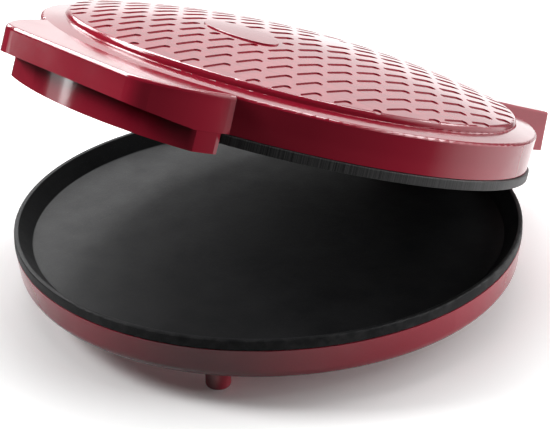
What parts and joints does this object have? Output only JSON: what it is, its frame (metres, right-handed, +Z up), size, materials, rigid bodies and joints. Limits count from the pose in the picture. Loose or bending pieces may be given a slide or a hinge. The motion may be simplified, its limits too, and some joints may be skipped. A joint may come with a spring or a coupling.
{
  "type": "electric pizza maker",
  "caption": "Round countertop electric pizza maker with two shallow non-stick pans, a hinged domed lid with recessed slots, a front handle and short feet.",
  "frame": {"origin": "centre of the footprint of the open cooker on the surface that it stands on", "axes": "+Z up, -Y to the front where the handle is, +Y to the hinge, +X to the right seen from the front"},
  "size_m": [0.33, 0.3634, 0.2132],
  "materials": {
    "red_shell": "glossy deep red moulding",
    "red_cover": "satin deep red moulding",
    "red_foot": "glossy deep red moulding",
    "red_lid": "glossy deep red moulding",
    "red_plaque": "glossy, bare",
    "red_skirt": "glossy deep red moulding",
    "red_carrier": "satin deep red moulding",
    "hinge_plastic": "glossy deep red moulding",
    "screw_steel": "zinc plated",
    "pad_rubber": "soft black rubber",
    "pan_coating": "cast, black non-stick coating",
    "pan_coating_upper": "cast, black non-stick coating",
    "heater_sheath": "oxidised steel tube",
    "sheet_steel": "plain sheet",
    "bright_sheet": "bright rolled sheet",
    "control_body": "dark moulding",
    "fuse_case": "small metal case",
    "terminal_white": "white insulating block",
    "lead_sleeve": "woven glass sleeving on wire",
    "black_bush": "black elastomer",
    "pin_steel": "turned steel",
    "washer_steel": "pressed steel"
  },
  "bodies": {
    "base": {"base_shell": "red_shell", "bottom_cover": "red_cover", "cover_screws": "screw_steel", "feet": "red_foot", "foot_pads": "pad_rubber", "foot_screws": "screw_steel", "lower_pan": "pan_coating", "lower_pan_screws": "screw_steel", "lower_heater": "heater_sheath", "lower_heater_clips": "sheet_steel", "lower_reflector": "bright_sheet", "thermostat": "control_body", "thermal_fuse": "fuse_case", "terminal_block": "terminal_white", "base_wiring": "lead_sleeve", "earth_tag": "sheet_steel", "cord_gland": "black_bush", "hinge_bracket": "hinge_plastic", "bracket_screws": "screw_steel", "hinge_pins": "pin_steel", "hinge_washers": "washer_steel", "wire_sleeve": "black_bush"},
    "lid": {"lid_shell": "red_lid", "badge_plaque": "red_plaque", "handle_skirt": "red_skirt", "skirt_screws": "screw_steel", "hinge_carrier": "red_carrier", "carrier_screws": "screw_steel", "upper_pan": "pan_coating_upper", "upper_pan_screws": "screw_steel", "upper_heater": "heater_sheath", "upper_heater_clips": "sheet_steel", "upper_reflector": "bright_sheet", "lid_wiring": "lead_sleeve"}
  },
  "joints": [
    {"name": "lid_hinge", "type": "hinge", "parent": "base", "child": "lid", "pos_m": [0, 0.16781, 0.0492], "axis": [-1, 0, 0], "range_deg": [-21.44, 73.5]}
  ]
}
